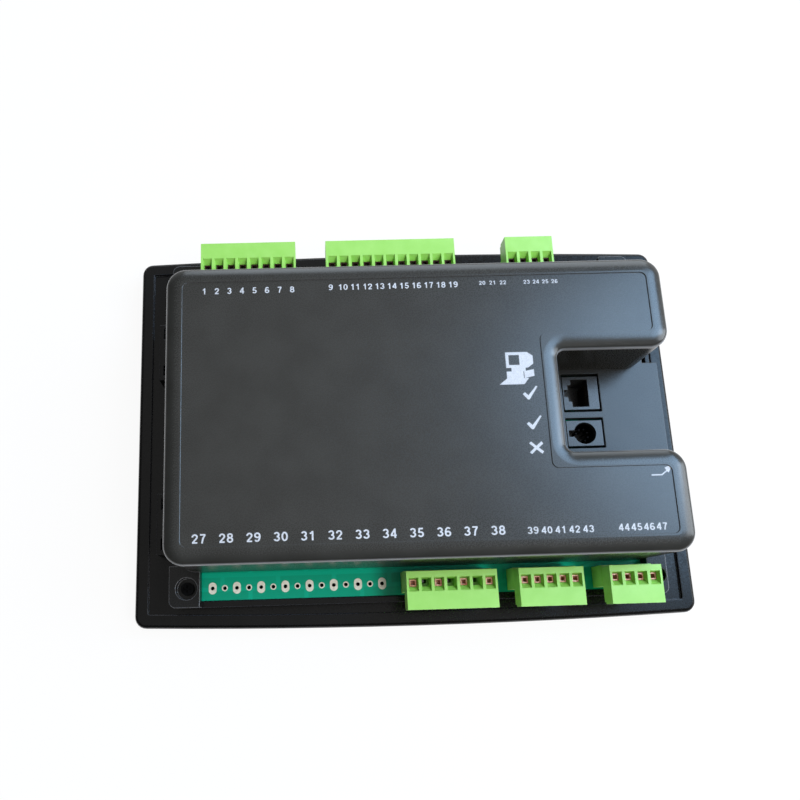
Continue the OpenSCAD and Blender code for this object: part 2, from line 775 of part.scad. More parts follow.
// Cross-section of the cover's wall, rim and shoulder: x inward from the outer face, y the height
module cover_section(foot) {
    meet = rim_r - rim_r * (shoulder_w - rim_r) / (shoulder_r - rim_r);
    under = depth - wall;
    difference() {
        union() {
            translate([0, foot]) square([shoulder_w, rim_z - foot]);
            translate([rim_r, rim_z]) circle(rim_r);
            intersection() {
                translate([shoulder_w, depth - shoulder_r + lift]) circle(shoulder_r);
                translate([meet, depth - 2 * rim_r]) square([shoulder_w - meet, 2 * rim_r]);
            }
            translate([shoulder_w - 0.1, under]) square([0.6, wall]);
        }
        polygon([[wall, foot - 1], [shoulder_w + 1, foot - 1], [shoulder_w + 1, under],
            [shoulder_w, under], [wall, rim_z - 0.5]]);
    }
}

// Straight run of the cover's section from a to b, with the inside on the left
module cover_run(a, b, foot) {
    d = b - a;
    translate([a[0], a[1]]) rotate(atan2(d[1], d[0])) rotate([90, 0, 90])
        linear_extrude(norm(d)) cover_section(foot);
}

// Outside corner at q, where the run arrives at the given angle
module cover_corner(q, angle, foot) {
    turn = [cos(angle), sin(angle)];
    c = q + cover_r * [-turn[1] - turn[0], turn[0] - turn[1]];
    translate([c[0], c[1]]) rotate(angle - 90) {
        rotate_extrude(angle = 90) translate([cover_r, 0]) mirror([1, 0]) cover_section(foot);
        translate([0, 0, depth - wall]) rotate_extrude(angle = 90) square([cover_r - shoulder_w, wall]);
    }
}

// Inside corner of the notch at q, where the run arrives at the given angle
module cover_inner_corner(q, angle, foot) {
    turn = [cos(angle), sin(angle)];
    c = q + notch_r * [turn[1] - turn[0], -turn[0] - turn[1]];
    reach = notch_r + shoulder_w;
    translate([c[0], c[1]]) rotate(angle) {
        rotate_extrude(angle = 90) translate([notch_r, 0]) cover_section(foot);
        translate([0, 0, depth - wall]) linear_extrude(wall) difference() {
            square(reach + 0.2);
            circle(reach);
        }
    }
}

// Plan of the cover set in by t, with the notch
function cover_plan(t) = [[cover_l + t, cover_b + t], [cover_right - t, cover_b + t],
    [cover_right - t, notch_b - t], [notch_x - t, notch_b - t],
    [notch_x - t, notch_t + t], [cover_right - t, notch_t + t],
    [cover_right - t, cover_t - t], [cover_l + t, cover_t - t]];

// Roof of the cover, with its six outside corners cut back to the corner pieces
function roof_plan() = let (p = cover_plan(shoulder_w), k = cover_r - shoulder_w,
        outer = [0, 1, 2, 5, 6, 7])
    [for (i = [0:7]) let (a = unit(p[(i + 7) % 8] - p[i]), b = unit(p[(i + 1) % 8] - p[i]))
        each (len(search(i, outer)) > 0 ? [p[i] + k * a, p[i] + k * b] : [p[i]])];

module cover_shell() {
    p = cover_plan(0);
    ends = [[0, cover_r, cover_r, foot_z], [1, cover_r, cover_r, foot_z],
        [2, cover_r, notch_r, notch_floor], [3, notch_r, notch_r, notch_floor],
        [4, notch_r, cover_r, notch_floor], [5, cover_r, cover_r, foot_z],
        [6, cover_r, cover_r, foot_z], [7, cover_r, cover_r, foot_z]];
    for (e = ends) {
        a = p[e[0]];
        b = p[(e[0] + 1) % 8];
        cover_run(a + e[1] * unit(b - a), b - e[2] * unit(b - a), e[3]);
    }
    for (q = [[1, 0], [6, 90], [7, 180], [0, 270]]) cover_corner(p[q[0]], q[1], foot_z);
    for (q = [[2, 90], [5, 0]]) cover_corner(p[q[0]], q[1], notch_floor);
    cover_inner_corner(p[3], 180, notch_floor);
    cover_inner_corner(p[4], 90, notch_floor);
    translate([0, 0, depth - wall]) linear_extrude(wall) polygon(roof_plan());
}

// Floor of the notch with the pockets for both ports, and the walls that close the cover below it
module port_floor() {
    y0 = notch_b - wall;
    under = notch_floor - wall;
    long = notch_right - notch_x + wall;
    wide = notch_h + 2 * wall;
    color(cover_black) difference() {
        union() {
            translate([notch_x - wall, y0, under]) cube([long, wide, wall]);
            for (y = [y0, notch_t])
                translate([notch_x - wall, y, foot_z]) cube([long, wall, under - foot_z]);
            translate([notch_right - wall, y0, foot_z]) cube([wall, wide, under - foot_z]);
            for (y = [notch_b - cover_r, notch_t]) {
                translate([cover_right - wall, y, foot_z]) cube([wall, cover_r, under - foot_z]);
                translate([cover_right - cover_r, y, under]) cube([cover_r, cover_r, wall]);
            }
        }
        block([port_x, jack_y], [jack_w + 2 * pocket_gap, jack_l + 2 * slot_gap, depth], foot_z);
        block([port_x, port_y], [port_w + 2 * pocket_gap, port_l + 2 * slot_gap, depth], foot_z);
    }
}

// Outer envelope of the cover's skirt
module cover_core(z0, z1) {
    mid = [cover_x, -cover_drop];
    block(mid, [cover_w - 2 * cover_r, cover_h, z1 - z0], z0);
    block(mid, [cover_w, cover_h - 2 * cover_r, z1 - z0], z0);
    for (sx = [-1, 1], sy = [-1, 1])
        rod(mid + [sx * (cover_w / 2 - cover_r), sy * (cover_h / 2 - cover_r)], 2 * cover_r, z0, z1);
}

// Corner tab with its screw recess, running up to the cover's skirt
module corner_tab(c) {
    long_y = body_h / 2 - (c[1] < 0 ? -cover_b : cover_t) + wall;
    x = c[0] * (body_w / 2 - c[2] / 2);
    y = c[1] * (body_h / 2 - long_y / 2);
    sx = case_screw_x(c);
    sy = c[1] * case_screw_y;
    difference() {
        translate([x, y, body_top]) linear_extrude(tab_top - body_top) difference() {
            square([c[2], long_y], center = true);
            translate([c[0] * (c[2] / 2 - tab_r), c[1] * (long_y / 2 - tab_r)]) difference() {
                translate([c[0] * tab_r / 2, c[1] * tab_r / 2]) square(tab_r + 0.01, center = true);
                circle(tab_r);
            }
        }
        cover_core(0, depth);
        rod([sx, sy], c[3] + 0.5, tab_top - recess_depth, tab_top + 1);
        rod([sx, sy], screw_core + 0.6, foot_z - 1, tab_top);
    }
}

module cover_tabs() {
    color(cover_black) for (c = corners) corner_tab(c);
}

module rear_cover() {
    color(cover_black) difference() {
        cover_shell();
        translate([0, 0, depth - label_d]) linear_extrude(1)
            polygon(round_path(cover_plan(shoulder_w + 0.4), 2.5));
    }
}

// Place inside the cover, as shares of its width and height from the lower left
function inner(u, v) = [cover_l + u * cover_w, cover_b + v * cover_h];

module relays() {
    color([0.10, 0.25, 0.55]) for (i = [0:4])
        block(inner(0.099 + i * 0.0997, 0.146), relay_size, board_top);
}

module sense_transformers() {
    color([0.16, 0.16, 0.17]) for (i = [0:2])
        block(inner(0.647 + i * 0.1097, 0.146), transformer_size, board_top);
}

module supply_inductor() {
    color([0.25, 0.22, 0.20]) translate([inner(0.398, 0.807)[0], inner(0.398, 0.807)[1], board_top]) {
        difference() {
            cylinder(d = coil_d, h = coil_h);
            translate([0, 0, 2]) cylinder(d = coil_hole, h = coil_h);
        }
    }
}

module filter_capacitors() {
    color([0.12, 0.13, 0.2]) for (i = [0:3])
        rod(inner(0.089 + i * 0.075, 0.849), can_d, board_top, board_top + can_h);
}

module surge_suppressors() {
    color([0.8, 0.45, 0.1]) for (i = [0:5])
        translate([inner(0.079 + i * 0.08, 0)[0], inner(0, 0.314)[1], board_top + disc_d / 2])
            rotate([90, 0, 0]) cylinder(d = disc_d, h = disc_t, center = true);
}

module divider_resistors() {
    color([0.75, 0.65, 0.45]) for (i = [0:8])
        translate([inner(0.069 + i * 0.03, 0)[0], inner(0, 0.464)[1], board_top + film_d / 2])
            rotate([90, 0, 0]) cylinder(d = film_d, h = film_l, center = true);
}

module processor() {
    color([0.12, 0.12, 0.13]) block(inner(0.547, 0.556), processor_size, board_top);
}

module interface_chips() {
    color([0.12, 0.12, 0.13]) for (i = [0:3]) block(inner(0.522 + i * 0.075, 0.849), chip_size, board_top);
}

module regulator() {
    color([0.5, 0.5, 0.52]) {
        block(inner(0.89, 0.82), sink_size, board_top);
        for (i = [-2:2])
            translate([i * fin_step, 0, sink_size[2]])
                block(inner(0.89, 0.82), [fin_t, sink_size[1], fin_h], board_top);
    }
}

module clock_crystal() {
    color(steel) block(inner(0.657, 0.556), crystal_size, board_top);
}

front_bezel();
body_frame();
facia_overlay();
display_window();
lcd_panel();
lcd_frame();
lcd_backlight();
display_board();
display_screws();
key_switches();
indicator_leds();
stop_button();
manual_button();
test_button();
auto_button();
start_button();
scroll_up_key();
scroll_down_key();
board_link();
main_board();
board_screws();
solder_pads();
header_1_8();
header_9_19();
header_23_26();
header_35_38();
header_39_43();
header_44_47();
header_pins();
plug_1_8();
plug_9_19();
plug_23_26();
plug_35_38();
plug_39_43();
plug_44_47();
wire_clamps();
clamp_screws();
modular_jack();
jack_contacts();
round_port();
port_shield();
port_pins();
rear_cover();
port_floor();
cover_tabs();
case_screws();
relays();
sense_transformers();
supply_inductor();
filter_capacitors();
surge_suppressors();
divider_resistors();
processor();
interface_chips();
regulator();
clock_crystal();
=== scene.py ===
# %% [markdown]
# # A generator controller, seen from the rear
# This lesson dresses a finished CAD model in Blender. The solids already have the right size and place,
# so the work here is camera, light, finishes and print. We load the solids first. Nothing that we add
# may make the object bigger.

# %% Load the solids
import math

import bmesh
import bpy
from mathutils import Matrix, Vector
from mathutils.geometry import delaunay_2d_cdt


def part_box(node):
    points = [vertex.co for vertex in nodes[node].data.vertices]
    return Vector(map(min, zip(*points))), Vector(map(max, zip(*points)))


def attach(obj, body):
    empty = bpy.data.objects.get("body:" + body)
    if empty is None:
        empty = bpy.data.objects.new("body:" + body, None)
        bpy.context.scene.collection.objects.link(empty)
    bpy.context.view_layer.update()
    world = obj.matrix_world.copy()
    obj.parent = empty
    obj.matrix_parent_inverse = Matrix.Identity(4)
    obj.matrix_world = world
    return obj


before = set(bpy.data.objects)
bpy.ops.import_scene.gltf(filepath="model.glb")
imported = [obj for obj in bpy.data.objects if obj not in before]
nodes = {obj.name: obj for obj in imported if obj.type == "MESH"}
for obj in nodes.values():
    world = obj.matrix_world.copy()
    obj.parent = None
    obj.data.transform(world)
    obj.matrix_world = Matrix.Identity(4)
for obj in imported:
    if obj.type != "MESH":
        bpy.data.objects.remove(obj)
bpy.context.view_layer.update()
MM = 0.001

# %% [markdown]
# ## The camera
# The picture was taken from close by, nearly straight above, a little to the left and nearer to the lower
# edge. We could guess the camera by eye, but terminals at a known pitch make good targets, so its place,
# direction and lens were solved from them. A matrix of three directions places it exactly. The shift
# frames the object where the picture has it.

# %% Camera
SENSOR_WIDTH_MM = 36
LENS_MM = 32.30
SHIFT_X = 0.1007
SHIFT_Y = 0.0827
eye = Vector((-44.45, -82.82, 323.29)) * MM
right = Vector((0.99951, -0.03000, 0.00903))
down = Vector((-0.02742, -0.97709, -0.21104))
forward = Vector((0.01515, 0.21069, -0.97744))
camera_data = bpy.data.cameras.new("camera")
camera_data.sensor_width = SENSOR_WIDTH_MM
camera_data.lens = LENS_MM
camera_data.shift_x = SHIFT_X
camera_data.shift_y = SHIFT_Y
camera = bpy.data.objects.new("camera", camera_data)
turn = Matrix((right, -down, -forward)).transposed()
camera.matrix_world = Matrix.Translation(eye) @ turn.to_4x4()
bpy.context.collection.objects.link(camera)
scene = bpy.context.scene
scene.camera = camera
scene.view_settings.view_transform = "Standard"
print("camera at", [round(c, 4) for c in eye], "lens", camera_data.lens)

# %% [markdown]
# ## Small helpers for node materials
# Every finish below is a Principled shader with a little procedural variation. Nodes could be wired by
# hand in each cell, but the same few steps come back all the time: add a node, feed it, map one range of
# values to another. Short helpers for these keep the cells readable. One of them turns a colour as we see
# it on screen into the linear colour that the shader wants.

# %% Node helpers
def seen(r, g, b):
    """Linear colour for a colour given as it looks on screen, 0 to 255."""
    def linear(c):
        c /= 255
        return c / 12.92 if c <= 0.04045 else ((c + 0.055) / 1.055) ** 2.4
    return (linear(r), linear(g), linear(b), 1.0)


def add(tree, kind, **inputs):
    """New node with some of its inputs set; an underscore in a name stands for a space."""
    node = tree.nodes.new(kind)
    for name, value in inputs.items():
        node.inputs[name.replace("_", " ")].default_value = value
    return node


def feed(tree, source, socket):
    """Gives an input another node's output, or else a fixed value."""
    if isinstance(source, bpy.types.NodeSocket):
        tree.links.new(source, socket)
    else:
        socket.default_value = source


def combine(tree, kind, operation, first, second):
    """Math or vector math node on two sources; returns the node."""
    node = tree.nodes.new(kind)
    node.operation = operation
    feed(tree, first, node.inputs[0])
    feed(tree, second, node.inputs[1])
    return node


def remap(tree, value, start, end, low=0.0, high=1.0):
    """Value that runs from low to high as the given one runs from start to end."""
    node = add(tree, "ShaderNodeMapRange", From_Min=start, From_Max=end, To_Min=low, To_Max=high)
    tree.links.new(value, node.inputs["Value"])
    return node.outputs["Result"]


def stepped(tree, value, levels):
    """Grey that passes through levels, each a position and a brightness, as value rises."""
    ramp = tree.nodes.new("ShaderNodeValToRGB")
    while len(ramp.color_ramp.elements) < len(levels):
        ramp.color_ramp.elements.new(0.5)
    for step, (position, level) in zip(ramp.color_ramp.elements, levels):
        step.position = position
        step.color = (level, level, level, 1)
    tree.links.new(value, ramp.inputs["Fac"])
    return ramp.outputs["Color"]


def lay_over(tree, socket, share, colour):
    """Mixes a colour over what an input already gets, as far as share says."""
    mix = add(tree, "ShaderNodeMixRGB", Color2=colour)
    tree.links.new(share, mix.inputs["Fac"])
    tree.links.new(socket.links[0].from_socket, mix.inputs["Color1"])
    tree.links.new(mix.outputs["Color"], socket)


print("node helpers ready")

# %% Finish helpers
NOISE_LOW, NOISE_HIGH = 0.3, 0.7  # most of a noise lies between these
PATCH_LOW, PATCH_HIGH = 0.35, 0.65  # a colour changes between these


def finish(name, rough=0.5, metal=0.0, specular=0.5):
    """New Principled material; returns the material, its tree, its shader and its coordinates."""
    material = bpy.data.materials.new(name)
    material.use_nodes = True
    tree = material.node_tree
    shader = tree.nodes["Principled BSDF"]
    shader.inputs["Roughness"].default_value = rough
    shader.inputs["Metallic"].default_value = metal
    shader.inputs["Specular IOR Level"].default_value = specular
    place = tree.nodes.new("ShaderNodeTexCoord").outputs["Object"]
    return material, tree, shader, place


def noise(tree, place, size_mm, detail=2.0):
    """Noise whose grains are about size_mm across."""
    node = add(tree, "ShaderNodeTexNoise", Scale=1.0 / (size_mm * MM), Detail=detail)
    tree.links.new(place, node.inputs["Vector"])
    return node.outputs["Fac"]


def two_tone(tree, patches, dark, light):
    """Colour that runs from dark to light with a noise."""
    ramp = tree.nodes.new("ShaderNodeValToRGB")
    ends = ramp.color_ramp.elements
    for end, position, colour in ((ends[0], PATCH_LOW, dark), (ends[1], PATCH_HIGH, light)):
        end.position = position
        end.color = colour
    tree.links.new(patches, ramp.inputs["Fac"])
    return ramp.outputs["Color"]


def spread(tree, grain, low, high):
    """Value that runs from low to high with a noise, which seldom leaves its middle range."""
    return remap(tree, grain, NOISE_LOW, NOISE_HIGH, low, high)


def bump(tree, shader, height, depth_mm, strength):
    """Small unevenness in the way a surface faces."""
    node = add(tree, "ShaderNodeBump", Strength=strength, Distance=depth_mm * MM)
    tree.links.new(height, node.inputs["Height"])
    tree.links.new(node.outputs["Normal"], shader.inputs["Normal"])


def wear(material, node_names):
    """Puts a material on CAD nodes."""
    for node_name in node_names:
        for slot in nodes[node_name].material_slots:
            slot.material = material


print("finish helpers ready")

# %% [markdown]
# ## Moulded plastic
# The cases are injection moulded. Their skin comes from a spark-eroded mould, so it has a fine grain that
# breaks up reflections. A picture could hold that grain, but noise needs no image and has no seams. The
# same recipe with other numbers gives the satin flange, the grained cover and the glossier terminal
# plastic.

# %% Plastic recipe
PATCH_DETAIL = 3.0
GRAIN_STRENGTH = 0.35


def moulded(name, dark, light, rough, grain_mm=0.45, depth_mm=0.02, specular=0.5, uneven=0.08, patch_mm=14):
    """Plastic in two close shades with a grain in its gloss, and in its surface too where it has a depth."""
    material, tree, shader, place = finish(name, rough, specular=specular)
    patches = noise(tree, place, patch_mm, PATCH_DETAIL)
    tree.links.new(two_tone(tree, patches, dark, light), shader.inputs["Base Color"])
    grain = noise(tree, place, grain_mm)
    tree.links.new(spread(tree, grain, rough - uneven, rough + uneven), shader.inputs["Roughness"])
    if depth_mm:
        bump(tree, shader, grain, depth_mm, GRAIN_STRENGTH)
    return material


print("recipe for moulded plastic ready")

# %% [markdown]
# ## Painted highlights on rims and edges
# A moulded case catches thin lines of light along its rims and edges. Here these lines are painted: the
# material lightens the rims and edges in its colour. On the cover's slopes it also lowers the roughness,
# as handling polishes them. Two things can tell a material where the rims and edges are. The cover's rims
# are real curves, so there it is enough to ask how far the skin faces up. The flange and the corner tabs
# have sharp edges in CAD. A bevel modifier would have to stay very narrow on the tabs, because many of
# their faces are small, so a bevel node rounds them in the shading alone. It also shows where an edge is:
# there the rounded direction and the true one differ.

# %% Edge recipes
# where the painted rim highlight lies, by how far the skin faces up
RIM_HIGHLIGHT_BAND = [(0.03, 0.0), (0.10, 1.0), (0.50, 1.0), (0.80, 0.0)]
SLOPE_BAND = [(0.03, 0.0), (0.15, 1.0), (0.90, 1.0), (0.995, 0.0)]
FLAT_MATCH, EDGE_MATCH = 0.995, 0.80
BEVEL_SAMPLES = 8


def by_slope(tree, levels):
    """Levels that follow how far the skin faces up, from 0 on upright faces to 1 on level ones."""
    facing = tree.nodes.new("ShaderNodeSeparateXYZ")
    tree.links.new(tree.nodes["Texture Coordinate"].outputs["Normal"], facing.inputs["Vector"])
    return stepped(tree, facing.outputs["Z"], levels)


def rim_highlight_and_polish(material, light, rough):
    """Paints a highlight along a skin's steep rims and polishes its slopes."""
    tree = material.node_tree
    shader = tree.nodes["Principled BSDF"]
    # painted highlight: the rims get a lighter colour
    lay_over(tree, shader.inputs["Base Color"], by_slope(tree, RIM_HIGHLIGHT_BAND), light)
    lay_over(tree, shader.inputs["Roughness"], by_slope(tree, SLOPE_BAND), (rough, rough, rough, 1))


def edge_highlight_and_rounding(material, light, radius_mm):
    """Rounds the edges of a skin in its shading and paints a highlight on them."""
    tree = material.node_tree
    shader = tree.nodes["Principled BSDF"]
    rounded = add(tree, "ShaderNodeBevel", Radius=radius_mm * MM)
    rounded.samples = BEVEL_SAMPLES
    true_normal = tree.nodes.new("ShaderNodeNewGeometry").outputs["Normal"]
    match = combine(tree, "ShaderNodeVectorMath", "DOT_PRODUCT", rounded.outputs["Normal"], true_normal)
    edge = remap(tree, match.outputs["Value"], FLAT_MATCH, EDGE_MATCH)
    # painted highlight: the edges get a lighter colour
    lay_over(tree, shader.inputs["Base Color"], edge, light)
    tree.links.new(rounded.outputs["Normal"], shader.inputs["Normal"])


print("recipes for rubbed rims and worn edges ready")

# %% Case plastics
cover_skin = moulded("cover_skin", seen(36, 35, 32), seen(42, 41, 38), 0.28, grain_mm=0.5, depth_mm=0.006,
                     uneven=0.05)
# painted highlight along the cover's rims; its slopes get a lower roughness
rim_highlight_and_polish(cover_skin, seen(112, 112, 114), 0.16)
notch_skin = moulded("notch_skin", seen(32, 32, 31), seen(37, 37, 36), 0.30, grain_mm=0.5, depth_mm=0.006,
                     specular=0.40)
flange_skin = moulded("flange_skin", seen(7, 7, 6), seen(12, 11, 11), 0.24, grain_mm=0.9, depth_mm=0,
                      specular=0.22)
# painted highlight on the flange's edges
edge_highlight_and_rounding(flange_skin, seen(66, 66, 70), 0.6)
tab_skin = moulded("tab_skin", seen(16, 16, 16), seen(22, 22, 22), 0.28, depth_mm=0, specular=0.25)
# painted highlight on the edges of the corner tabs
edge_highlight_and_rounding(tab_skin, seen(118, 118, 122), 0.7)
terminal_skin = moulded("terminal_skin", seen(144, 201, 84), seen(152, 206, 94), 0.40, grain_mm=0.8,
                        depth_mm=0.006, specular=0.75, patch_mm=6)
port_skin = moulded("port_skin", seen(38, 38, 38), seen(44, 44, 44), 0.30, grain_mm=0.5, depth_mm=0.01)
wear(cover_skin, ["rear_cover"])
wear(notch_skin, ["port_floor"])
wear(flange_skin, ["front_bezel", "body_frame"])
wear(tab_skin, ["cover_tabs"])
wear(terminal_skin, [n for n in nodes if n.startswith(("plug_", "header_")) and n != "header_pins"])
wear(port_skin, ["modular_jack", "round_port"])
print("plastics on the cases, terminals and ports")

# %% Plastics of the front and the fitted parts
dark_skin = moulded("dark_skin", seen(22, 22, 23), seen(28, 28, 29), 0.5)
overlay_skin = moulded("overlay_skin", seen(52, 56, 62), seen(58, 62, 68), 0.55, grain_mm=0.25)
ivory_skin = moulded("ivory_skin", seen(222, 220, 210), seen(230, 228, 220), 0.45, depth_mm=0.006)
red_skin = moulded("red_skin", seen(178, 26, 22), seen(190, 32, 28), 0.42, depth_mm=0.006)
green_skin = moulded("green_skin", seen(30, 128, 56), seen(36, 138, 62), 0.42, depth_mm=0.006)
blue_skin = moulded("blue_skin", seen(28, 68, 140), seen(34, 76, 150), 0.4)
orange_skin = moulded("orange_skin", seen(196, 120, 30), seen(206, 130, 40), 0.4)
tan_skin = moulded("tan_skin", seen(186, 164, 124), seen(196, 174, 134), 0.45)
wear(dark_skin, ["key_switches", "board_link", "sense_transformers", "processor", "interface_chips",
                 "supply_inductor", "filter_capacitors"])
wear(overlay_skin, ["facia_overlay"])
wear(ivory_skin, ["manual_button", "test_button", "auto_button", "scroll_up_key", "scroll_down_key",
                  "lcd_backlight"])
wear(red_skin, ["stop_button", "indicator_leds"])
wear(green_skin, ["start_button"])
wear(blue_skin, ["relays"])
wear(orange_skin, ["surge_suppressors"])
wear(tan_skin, ["divider_resistors"])
print("plastics on the front, the buttons and the fitted parts")

# %% [markdown]
# ## Metal
# Clamps are bare copper alloy, screws and pins are plated steel. One shader serves both, with the
# metallic value high; noise in the roughness gives the uneven polish of small pressed parts. The clamps
# of the upper row lie in shade deep in their funnels, so they look much darker than those of the lower
# row. A second material would need a second node, so a colour that follows the place on the object
# paints that shade over the upper row instead.

# %% Metals
SMOOTHER, DULLER = 0.1, 0.15
POLISH_DETAIL = 4.0
SCRATCH_MM, SCRATCH_DEPTH_MM, SCRATCH_STRENGTH = 0.3, 0.02, 0.4
ROW_BORDER = 10 * MM


def worked(name, dark, light, rough, patch_mm, metal=1.0):
    """Pressed or turned metal with an uneven polish."""
    material, tree, shader, place = finish(name, rough, metal=metal)
    patches = noise(tree, place, patch_mm, POLISH_DETAIL)
    tree.links.new(two_tone(tree, patches, dark, light), shader.inputs["Base Color"])
    tree.links.new(spread(tree, patches, rough - SMOOTHER, rough + DULLER), shader.inputs["Roughness"])
    bump(tree, shader, noise(tree, place, SCRATCH_MM), SCRATCH_DEPTH_MM, SCRATCH_STRENGTH)
    return material


def shade_upper_row(material, colour):
    """Lays a painted shade colour over a metal on the upper half of the object."""
    tree = material.node_tree
    place = tree.nodes.new("ShaderNodeSeparateXYZ")
    tree.links.new(tree.nodes["Texture Coordinate"].outputs["Object"], place.inputs["Vector"])
    upper = remap(tree, place.outputs["Y"], -ROW_BORDER, ROW_BORDER)
    lay_over(tree, tree.nodes["Principled BSDF"].inputs["Base Color"], upper, colour)


copper = worked("clamp_copper", seen(178, 112, 84), seen(228, 176, 148), 0.34, 1.1, metal=0.6)
# painted shade on the clamps of the upper row
shade_upper_row(copper, seen(58, 36, 24))
steel = worked("plated_steel", seen(150, 150, 152), seen(192, 192, 194), 0.34, 1.2)
# near-black metal on the port shield and pins: painted shade inside the round port
shaded_port_metal = worked("shaded_port_metal", seen(20, 19, 19), seen(34, 32, 31), 0.6, 1.0)
black_steel = worked("black_steel", seen(20, 20, 21), seen(30, 30, 31), 0.5, 1.5)
# near-black gold on the jack contacts: painted shade inside the jack
shaded_gold = worked("contact_gold", seen(40, 32, 18), seen(60, 48, 28), 0.45, 1.0)
aluminium = worked("sink_aluminium", seen(150, 150, 153), seen(180, 180, 183), 0.4, 2.0)
wear(copper, ["wire_clamps"])
wear(steel, ["clamp_screws", "header_pins", "display_screws", "board_screws", "lcd_frame", "clock_crystal"])
wear(shaded_port_metal, ["port_shield", "port_pins"])
wear(black_steel, ["case_screws"])
wear(shaded_gold, ["jack_contacts"])
wear(aluminium, ["regulator"])
print("metals on clamps, screws, pins and contacts")

# %% [markdown]
# ## Circuit board
# A board is glass cloth under a coat of green lacquer. The weave shows faintly, and copper tracks under
# the lacquer look a shade lighter. A wave texture makes the ribs of the weave, and the joints of a coarse
# brick pattern make the tracks. The bare pads are tinned.

# %% Boards and pads
TRACK_FIELD_MM = 26
WEAVE_MM, WEAVE_DEPTH_MM, WEAVE_STRENGTH = 2.4, 0.02, 0.2
board, tree, shader, place = finish("board_lacquer", 0.35, specular=0.15)
tracks = add(tree, "ShaderNodeTexBrick", Scale=1.0 / (TRACK_FIELD_MM * MM), Mortar_Size=0.035,
             Brick_Width=0.9, Row_Height=0.22, Color1=seen(0, 160, 126), Color2=seen(0, 153, 119),
             Mortar=seen(3, 168, 134))
tree.links.new(place, tracks.inputs["Vector"])
tree.links.new(tracks.outputs["Color"], shader.inputs["Base Color"])
weave = add(tree, "ShaderNodeTexWave", Scale=1.0 / (WEAVE_MM * MM), Distortion=0.4)
tree.links.new(place, weave.inputs["Vector"])
bump(tree, shader, weave.outputs["Fac"], WEAVE_DEPTH_MM, WEAVE_STRENGTH)
shader.inputs["Coat Weight"].default_value = 0.05
wear(board, ["main_board", "display_board"])

tin = worked("pad_tin", seen(226, 221, 203), seen(244, 240, 226), 0.45, 1.2, metal=0.1)
wear(tin, ["solder_pads"])
print("boards lacquered, pads tinned")

# %% [markdown]
# ## Display
# The window is clear plastic, so it gets transmission. Behind it the liquid crystal is a greenish sheet
# with a faint grid of cells, for which a checker pattern in two close colours is enough.

# %% Display
ACRYLIC_IOR = 1.49
CLOUD_MM, CELL_MM = 20, 0.5
window, tree, shader, place = finish("window_clear", 0.05)
shader.inputs["Transmission Weight"].default_value = 0.9
shader.inputs["IOR"].default_value = ACRYLIC_IOR
tree.links.new(two_tone(tree, noise(tree, place, CLOUD_MM), seen(225, 232, 230), seen(235, 240, 238)),
               shader.inputs["Base Color"])
wear(window, ["display_window"])
crystal, tree, shader, place = finish("liquid_crystal", 0.25)
cells = add(tree, "ShaderNodeTexChecker", Scale=1.0 / (CELL_MM * MM), Color1=seen(150, 168, 112),
            Color2=seen(146, 164, 109))
tree.links.new(place, cells.inputs["Vector"])
tree.links.new(cells.outputs["Color"], shader.inputs["Base Color"])
wear(crystal, ["lcd_panel"])
print("display finished")

# %% [markdown]
# ## Edges
# No moulded or pressed edge is perfectly sharp. CAD edges are, so they catch no light and look like
# paper. On the pieces with large, clear edges a bevel modifier rounds them by a few tenths of a
# millimetre. The weld before it joins the faces, so that the bevel finds the edges between them. The
# solids themselves stay as they are.

# %% Edges
WELD_REACH = 0.01 * MM
BEVEL_STEPS = 2
SHARP_ANGLE = math.radians(40)


def soften(node_names, width_mm):
    """Rounds the sharp edges of CAD nodes with modifiers."""
    for node_name in node_names:
        weld = nodes[node_name].modifiers.new("weld", "WELD")
        weld.merge_threshold = WELD_REACH
        edge = nodes[node_name].modifiers.new("edge", "BEVEL")
        edge.width = width_mm * MM
        edge.segments = BEVEL_STEPS
        edge.limit_method = "ANGLE"
        edge.angle_limit = SHARP_ANGLE


soften([n for n in nodes if n.startswith("plug_")], 0.3)
soften([n for n in nodes if n.startswith("header_") and n != "header_pins"], 0.2)
soften(["rear_cover", "port_floor"], 0.3)
soften(["modular_jack", "round_port"], 0.15)
print("edges rounded on", sum(1 for n in nodes.values() if n.modifiers), "nodes")

# %% [markdown]
# ## Print on the rear cover
# Each terminal has a white number, screen printed beside its row in plain upright figures. A font object
# could give them, but its figures have another character. So each figure is drawn like a plotter draws
# it, as strokes of one width. Strokes overlap where they cross; a constrained triangulation melts them
# into one clean flat sheet.

# %% Figures
FIELD = 0.62


def arc(x, y, rx, ry, start, end, n=12):
    """Points on an oval round x, y, from one angle to another, in degrees."""
    angles = [math.radians(start + (end - start) * i / n) for i in range(n + 1)]
    return [(x + rx * math.cos(a), y + ry * math.sin(a)) for a in angles]


